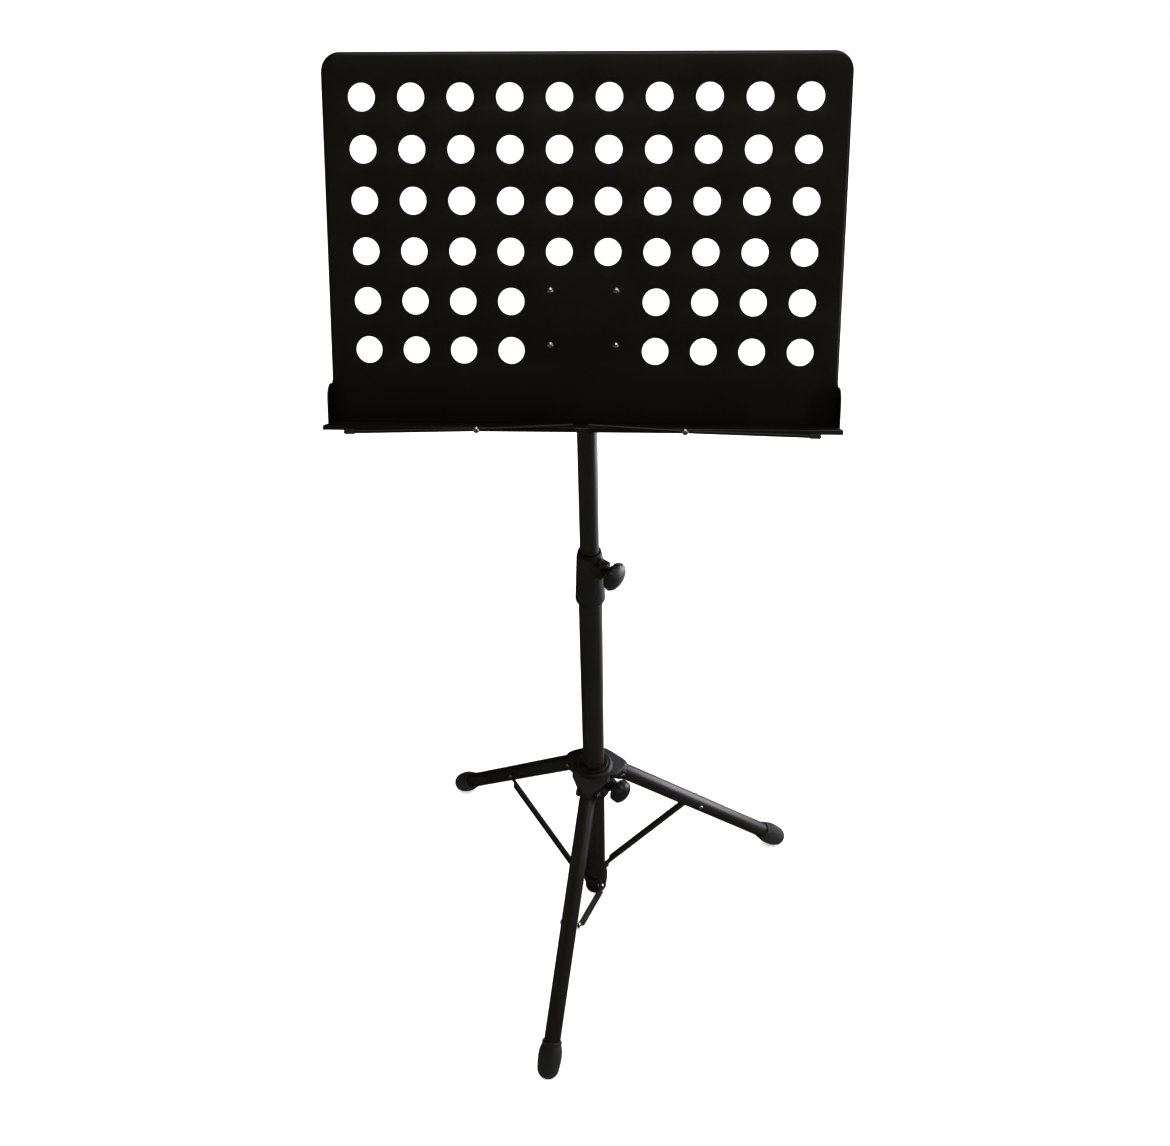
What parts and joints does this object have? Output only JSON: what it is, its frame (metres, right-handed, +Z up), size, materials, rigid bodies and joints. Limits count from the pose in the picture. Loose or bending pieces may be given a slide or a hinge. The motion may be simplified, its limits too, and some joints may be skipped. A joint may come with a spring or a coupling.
{
  "type": "music stand",
  "caption": "Folding orchestra music stand: perforated steel desk with a shelf and page arms, tilting on a height-adjustable column with a folding tripod base.",
  "frame": {"origin": "the column's axis at floor level, under the stand's feet", "axes": "+Z up the column; the desk faces -Y and its width runs along X"},
  "size_m": [0.5336, 0.5038, 1.1862],
  "materials": {
    "desk_paint": "semi-gloss black powder coat",
    "tube_paint": "satin black powder coat",
    "moulded_plastic": "fine-grained black moulding",
    "knob_plastic": "smooth satin black moulding",
    "nylon": "plain black nylon",
    "zinc_steel": "bright zinc plate",
    "black_rubber": "matte moulded rubber"
  },
  "bodies": {
    "column": {"lower_tube": "tube_paint", "base_cap": "nylon", "base_collar": "tube_paint", "strut_pivot_rivets": "zinc_steel", "clamp_collar": "moulded_plastic", "collar_bush": "nylon"},
    "collar_knob": {"collar_knob": "knob_plastic", "collar_knob_screw": "zinc_steel"},
    "glide": {"glide_bush": "nylon"},
    "mast": {"upper_tube": "tube_paint", "tilt_head": "moulded_plastic", "tilt_bolt": "zinc_steel", "tilt_washers": "nylon"},
    "tilt_knob": {"tilt_knob": "knob_plastic"},
    "desk": {"desk_panel": "desk_paint", "shelf_tray": "desk_paint", "tilt_bracket": "desk_paint", "desk_screws": "zinc_steel", "desk_nuts": "zinc_steel", "arm_screws": "zinc_steel", "arm_nuts": "zinc_steel"},
    "arm_left": {"page_arm_left": "desk_paint", "arm_cap_left": "black_rubber"},
    "arm_right": {"page_arm_right": "desk_paint", "arm_cap_right": "black_rubber"},
    "hub": {"leg_hub": "moulded_plastic", "hub_bush": "nylon", "leg_pivot_bolts": "zinc_steel", "leg_pivot_nuts": "zinc_steel"},
    "hub_knob": {"hub_knob": "knob_plastic", "hub_knob_screw": "zinc_steel"},
    "leg_front": {"leg_tube_front": "tube_paint", "leg_fitting_front": "moulded_plastic", "foot_front": "black_rubber", "leg_rivet_front": "zinc_steel"},
    "strut_front": {"strut_front": "tube_paint", "strut_rivet_front": "zinc_steel"},
    "leg_right": {"leg_tube_right": "tube_paint", "leg_fitting_right": "moulded_plastic", "foot_right": "black_rubber", "leg_rivet_right": "zinc_steel"},
    "strut_right": {"strut_right": "tube_paint", "strut_rivet_right": "zinc_steel"},
    "leg_left": {"leg_tube_left": "tube_paint", "leg_fitting_left": "moulded_plastic", "foot_left": "black_rubber", "leg_rivet_left": "zinc_steel"},
    "strut_left": {"strut_left": "tube_paint", "strut_rivet_left": "zinc_steel"}
  },
  "joints": [
    {"name": "height_slide", "type": "slide", "parent": "column", "child": "glide", "axis": [0, 0, 1], "range_m": [-0.17, 0.24]},
    {"name": "mast_swivel", "type": "hinge", "parent": "glide", "child": "mast", "pos_m": [0, 0, 0.6], "axis": [0, 0, 1], "continuous": true},
    {"name": "desk_tilt", "type": "hinge", "parent": "mast", "child": "desk", "pos_m": [0, 0, 0.962], "axis": [-1, 0, 0], "range_deg": [-28, 61]},
    {"name": "arm_left_swing", "type": "hinge", "parent": "desk", "child": "arm_left", "pos_m": [-0.098, -0.1154, 0.90806], "axis": [0, 0.878, -0.4787], "range_deg": [0, 95]},
    {"name": "arm_right_swing", "type": "hinge", "parent": "desk", "child": "arm_right", "pos_m": [0.098, -0.1154, 0.90806], "axis": [0, -0.878, 0.4787], "range_deg": [0, 95]},
    {"name": "collar_knob_turn", "type": "hinge", "parent": "column", "child": "collar_knob", "pos_m": [0, 0, 0.648], "axis": [0.7615, -0.6481, 0], "range_deg": [0, 720]},
    {"name": "hub_knob_turn", "type": "hinge", "parent": "hub", "child": "hub_knob", "pos_m": [0, 0, 0.2735], "axis": [0.7615, -0.6481, 0], "range_deg": [0, 720]},
    {"name": "tilt_knob_turn", "type": "hinge", "parent": "mast", "child": "tilt_knob", "pos_m": [0.03, 0, 0.962], "axis": [1, 0, 0], "range_deg": [0, 720]},
    {"name": "hub_slide", "type": "slide", "parent": "column", "child": "hub", "axis": [0, 0, 1], "range_m": [0, 0.116]},
    {"name": "leg_front_fold", "type": "hinge", "parent": "hub", "child": "leg_front", "pos_m": [-0.00623, -0.03393, 0.2695], "axis": [0.9836, -0.1805, 0], "range_deg": [0, 42.6]},
    {"name": "strut_front_fold", "type": "hinge", "parent": "column", "child": "strut_front", "pos_m": [-0.00343, -0.01869, 0.04], "axis": [-0.9836, 0.1805, 0], "range_deg": [0, 44.4]},
    {"name": "leg_right_fold", "type": "hinge", "parent": "hub", "child": "leg_right", "pos_m": [0.0325, 0.01157, 0.2695], "axis": [-0.3355, 0.9421, 0], "range_deg": [0, 42.6]},
    {"name": "strut_right_fold", "type": "hinge", "parent": "column", "child": "strut_right", "pos_m": [0.0179, 0.00637, 0.04], "axis": [0.3355, -0.9421, 0], "range_deg": [0, 44.4]},
    {"name": "leg_left_fold", "type": "hinge", "parent": "hub", "child": "leg_left", "pos_m": [-0.02627, 0.02236, 0.2695], "axis": [-0.6481, -0.7615, 0], "range_deg": [0, 42.6]},
    {"name": "strut_left_fold", "type": "hinge", "parent": "column", "child": "strut_left", "pos_m": [-0.01447, 0.01231, 0.04], "axis": [0.6481, 0.7615, 0], "range_deg": [0, 44.4]}
  ],
  "couplings": [
    {"joint": "leg_front_fold", "follows": "hub_slide", "rad_per_m": 6.381},
    {"joint": "strut_front_fold", "follows": "hub_slide", "rad_per_m": 6.6533},
    {"joint": "leg_right_fold", "follows": "hub_slide", "rad_per_m": 6.381},
    {"joint": "strut_right_fold", "follows": "hub_slide", "rad_per_m": 6.6533},
    {"joint": "leg_left_fold", "follows": "hub_slide", "rad_per_m": 6.381},
    {"joint": "strut_left_fold", "follows": "hub_slide", "rad_per_m": 6.6533}
  ]
}
